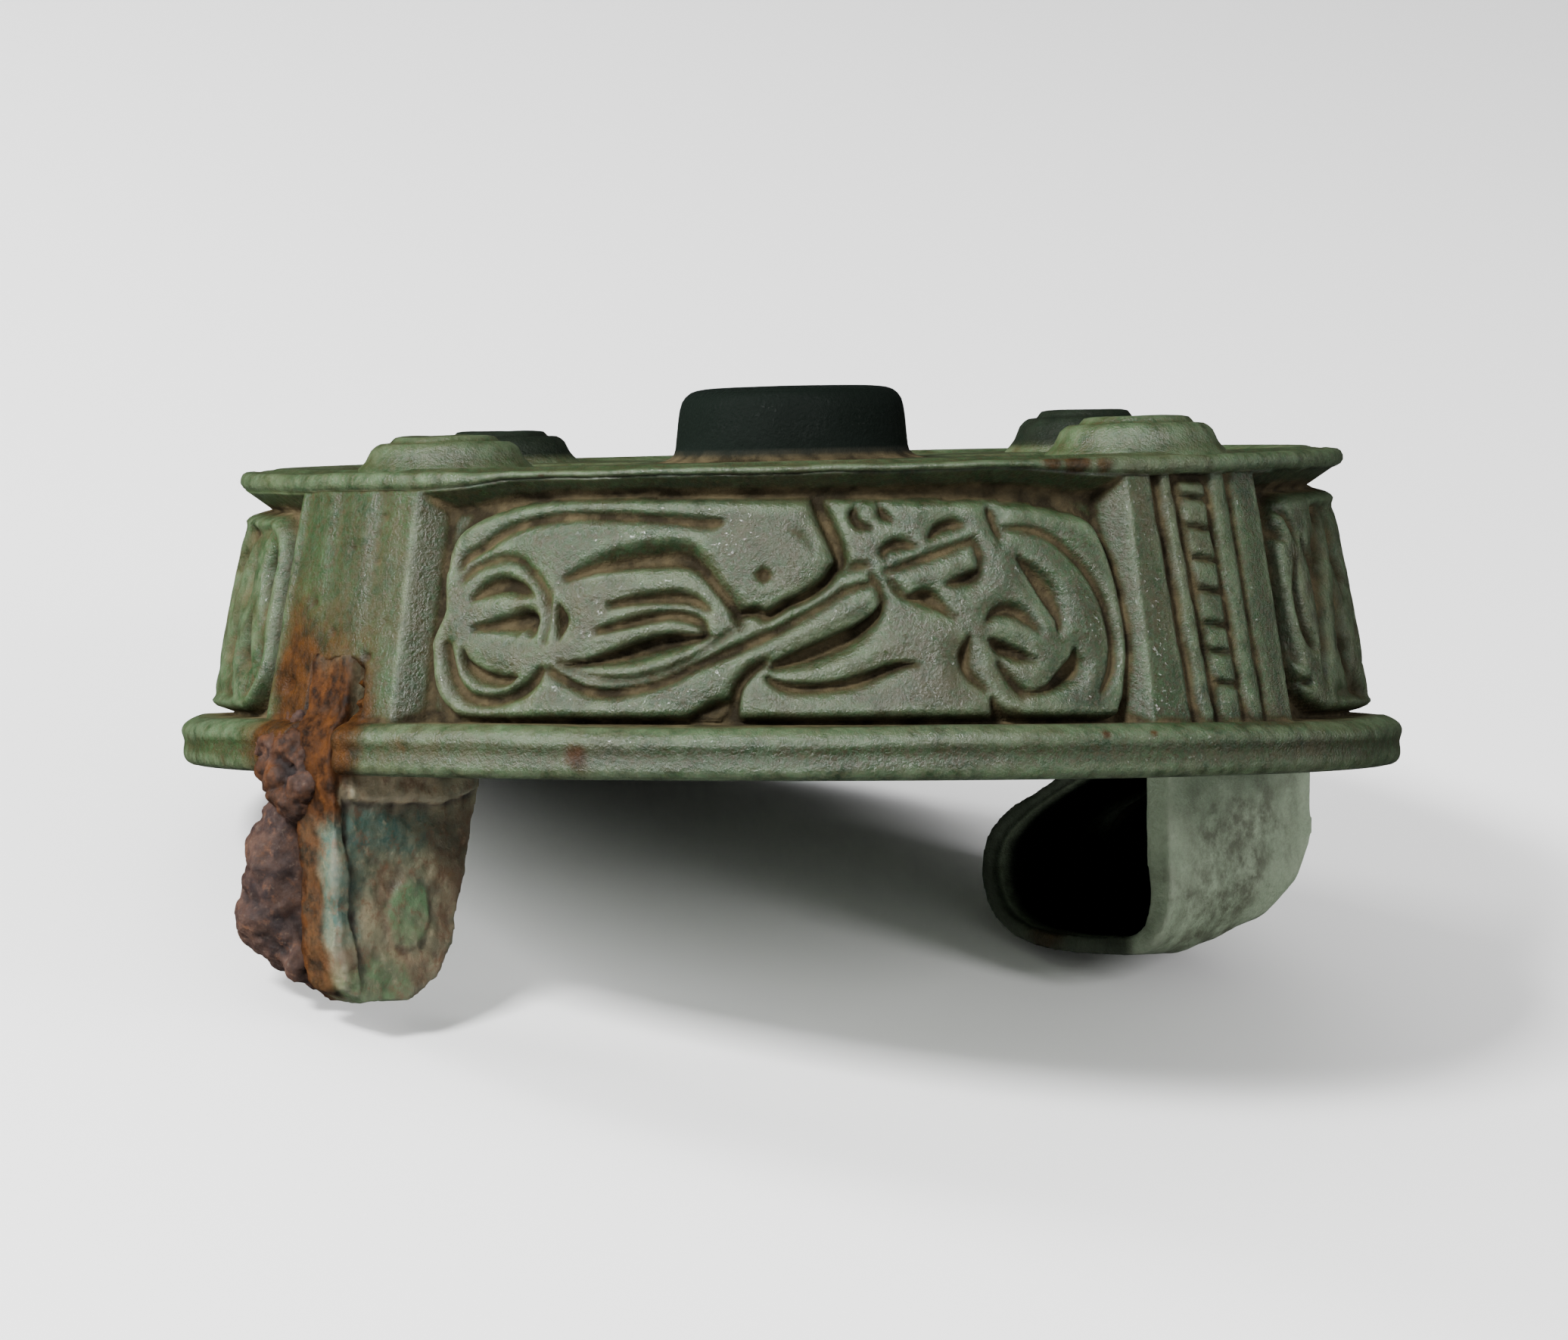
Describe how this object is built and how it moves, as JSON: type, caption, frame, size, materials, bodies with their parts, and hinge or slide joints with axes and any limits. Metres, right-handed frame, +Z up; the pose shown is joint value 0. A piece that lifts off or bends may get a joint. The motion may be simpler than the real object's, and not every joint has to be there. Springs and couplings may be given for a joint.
{
  "type": "box brooch",
  "caption": "Drum-shaped box brooch of cast bronze with carved interlace panels between pilasters, bosses on top, a hinge lug and a pin catch below.",
  "frame": {"origin": "middle of the brooch's outline seen from above, at the level of the table that it lies on", "axes": "+Z up from the table. The brooch lies on its catch, the iron at its lug and the edge of its rim, so its own axis leans 19.6 degrees away from the front panel. -Y towards the front panel between the two near pilasters, +X to the right seen from the front"},
  "size_m": [0.0474, 0.0472, 0.0265],
  "materials": {
    "drum_bronze": "grey green patina, dark soil in the recesses, rubbed lighter on the ridges",
    "plate_bronze": "grey green patina stained brown and teal near the iron",
    "corroded_iron": "lumpy dark rust"
  },
  "bodies": {
    "root": {"drum": "drum_bronze", "base_plate": "plate_bronze", "iron_pin_remains": "corroded_iron"}
  },
  "joints": []
}
